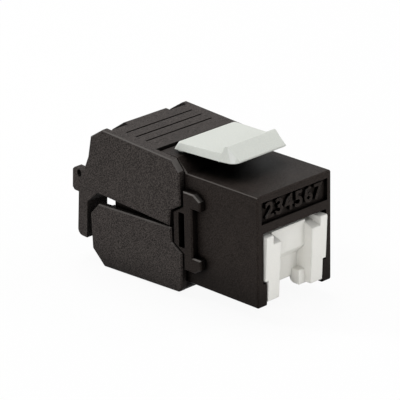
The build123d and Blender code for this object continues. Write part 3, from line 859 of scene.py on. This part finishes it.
@dataclass
class Internals:
    """Insert, board, terminal blocks, contacts and blades."""

    contacts: int = 8
    ways: int = 4
    pitch_mm: float = 1.02
    tail_y_mm: float = 15.8
    tail_stagger_mm: float = 1.3
    board_half_mm: float = 0.6
    pad_outer_mm: float = 0.46
    pad_inner_mm: float = 0.33
    pad_height_mm: float = 0.05
    pad_segments: int = 20

    def build(self) -> None:
        """Dresses the inner CAD pieces and adds the board's pads."""
        dress("contact_insert", INSERT.build())
        dress("circuit_board", BOARD.build())
        ivory = TERMINAL.build()
        dress("upper_terminal_block", ivory)
        dress("lower_terminal_block", ivory)
        gold = CONTACT.build()
        for number in range(1, self.contacts + 1):
            dress(f"spring_contact_{number}", gold)
        tin = BLADE.build()
        for number in range(1, self.ways + 1):
            dress(f"upper_blade_{number}", tin)
            dress(f"lower_blade_{number}", tin)
        self.pads("board_pads_upper", 1.0, tin)
        self.pads("board_pads_lower", -1.0, tin)

    def pads(self, name: str, side: float, metal: bpy.types.Material) -> None:
        """Adds tinned rings round the holes that the contacts' tails pass.

        Args:
            name: The piece's name.
            side: 1 for the board's upper face, -1 for its lower one.
            metal: The rings' material.
        """
        mesh = bmesh.new()
        for index in range(self.contacts):
            x = (index - (self.contacts - 1) / 2) * self.pitch_mm
            y = self.tail_y_mm + self.tail_stagger_mm * (index % 2)
            outer = self.pad_outer_mm * MM
            rim = bmesh.ops.create_circle(mesh, radius=outer, segments=self.pad_segments)["verts"]
            edges = {edge for vert in rim for edge in vert.link_edges}
            inner = bmesh.ops.extrude_edge_only(mesh, edges=list(edges))["geom"]
            verts = [item for item in inner if isinstance(item, bmesh.types.BMVert)]
            shrink = self.pad_inner_mm / self.pad_outer_mm
            bmesh.ops.scale(mesh, verts=verts, vec=(shrink, shrink, 1.0))
            base = (x * MM, y * MM, side * self.board_half_mm * MM)
            bmesh.ops.translate(mesh, verts=rim + verts, vec=base)
        height = self.pad_height_mm * MM
        made = bmesh.ops.extrude_face_region(mesh, geom=mesh.faces[:])["geom"]
        top = [item for item in made if isinstance(item, bmesh.types.BMVert)]
        bmesh.ops.translate(mesh, verts=top, vec=(0.0, 0.0, side * height))
        place_mesh(mesh, name, Body.JACK, metal)


@dataclass(frozen=True)
class SoftLamp:
    """A square soft lamp."""

    name: str
    place_mm: Triple
    size_mm: float
    power: float

    def build(self, aim_mm: Triple) -> None:
        """Adds the lamp.

        Args:
            aim_mm: The point that it faces.
        """
        data = bpy.data.lights.new(self.name, type="AREA")
        data.shape = "SQUARE"
        data.size = self.size_mm * MM
        data.energy = self.power
        lamp = bpy.data.objects.new(self.name, data)
        bpy.context.collection.objects.link(lamp)
        place = Vector(self.place_mm) * MM
        lamp.location = place
        lamp.rotation_euler = (Vector(aim_mm) * MM - place).to_track_quat("-Z", "Y").to_euler()


@dataclass
class Studio:
    """Floor, lamps, world light and the camera at the photograph's angle."""

    azimuth_deg: float = -44.07
    elevation_deg: float = 21.701
    roll_deg: float = -1.116
    focal_px: float = 2698.489
    frame_px: float = 400.0
    sensor_mm: float = 36.0
    distance_mm: float = 370.287
    shift_right_mm: float = -13.075
    shift_up_mm: float = 12.907
    aim_drop_mm: float = 8.125
    near_clip_m: float = 0.01
    far_clip_m: float = 20.0
    floor_half_mm: float = 2500.0
    floor_gap_mm: float = 0.02
    soft_light: float = 0.22
    aim_mm: Triple = (0.0, 15.0, 0.0)
    soft_lamps: tuple[SoftLamp, ...] = (
        SoftLamp("overhead_lamp", (60.0, 150.0, 420.0), 260.0, 1.0),
        SoftLamp("front_lamp", (150.0, -400.0, 120.0), 220.0, 0.5),
        SoftLamp("left_lamp", (-380.0, -175.0, 140.0), 200.0, 0.5),
        SoftLamp("rear_edge_lamp", (-178.0, 335.0, 310.0), 95.0, 0.65),
        SoftLamp("front_edge_lamp", (310.0, -153.0, 311.0), 95.0, 0.3),
    )

    def build(self) -> None:
        """Builds the whole stage."""
        self.floor()
        self.lamps()
        self.world()
        self.camera()

    def floor(self) -> None:
        """Lays a plain pale floor just under the jack's lowest point."""
        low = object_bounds()[0][2]
        mesh = bmesh.new()
        bmesh.ops.create_grid(mesh, x_segments=1, y_segments=1, size=self.floor_half_mm * MM)
        bmesh.ops.translate(mesh, verts=mesh.verts[:], vec=(0.0, 0.0, low - self.floor_gap_mm * MM))
        data = bpy.data.meshes.new("floor")
        mesh.to_mesh(data)
        mesh.free()
        data.materials.append(Backdrop().build())
        floor = bpy.data.objects.new("floor", data)
        bpy.context.collection.objects.link(floor)
        floor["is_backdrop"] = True

    def lamps(self) -> None:
        """Sets up every lamp, pointed at the jack's middle."""
        for lamp in self.soft_lamps:
            lamp.build(self.aim_mm)

    def world(self) -> None:
        """Sets up a pale world that the camera sees as white."""
        world = bpy.data.worlds.new("studio")
        bpy.context.scene.world = world
        world.use_nodes = True
        tree = world.node_tree
        tree.nodes.clear()
        seen = tree.nodes.new("ShaderNodeBackground")
        seen.inputs["Strength"].default_value = 1.0
        seen.inputs["Color"].default_value = (*WHITE, 1.0)
        soft = tree.nodes.new("ShaderNodeBackground")
        soft.inputs["Color"].default_value = (*WHITE, 1.0)
        soft.inputs["Strength"].default_value = self.soft_light
        mix = tree.nodes.new("ShaderNodeMixShader")
        output = tree.nodes.new("ShaderNodeOutputWorld")
        tree.links.new(plain_view(tree), mix.inputs[0])
        tree.links.new(soft.outputs[0], mix.inputs[1])
        tree.links.new(seen.outputs[0], mix.inputs[2])
        tree.links.new(mix.outputs[0], output.inputs["Surface"])

    def camera(self) -> None:
        """Sets up the camera, turned, rolled and placed as the photograph was taken."""
        turn = math.radians(self.azimuth_deg)
        tilt = math.radians(self.elevation_deg)
        roll = math.radians(self.roll_deg)
        ahead = math.cos(tilt)
        back = Vector((math.sin(turn) * ahead, -math.cos(turn) * ahead, math.sin(tilt)))
        level = Vector((0.0, 0.0, 1.0)).cross(back).normalized()
        upright = back.cross(level)
        right = math.cos(roll) * level + math.sin(roll) * upright
        up = -math.sin(roll) * level + math.cos(roll) * upright
        place = back * self.distance_mm + right * self.shift_right_mm + up * self.shift_up_mm
        place.z -= self.aim_drop_mm
        data = bpy.data.cameras.new("photo_camera")
        data.sensor_width = self.sensor_mm
        data.lens = self.focal_px / self.frame_px * self.sensor_mm
        data.clip_start = self.near_clip_m
        data.clip_end = self.far_clip_m
        camera = bpy.data.objects.new("photo_camera", data)
        bpy.context.collection.objects.link(camera)
        turned = Matrix((right, up, back)).transposed().to_4x4()
        camera.matrix_world = Matrix.Translation(place * MM) @ turned
        bpy.context.scene.camera = camera


def main() -> None:
    """Builds each sub-assembly and the stage, and sets the plain view transform."""
    logging.basicConfig(level=logging.INFO, format="%(message)s")
    for part in (Housing(), Covers(), Latch(), DustCap(), Internals(), Studio()):
        part.build()
        LOG.info("%s is built", type(part).__name__)
    bpy.context.scene.view_settings.view_transform = "Standard"


if __name__ == "__main__":
    main()
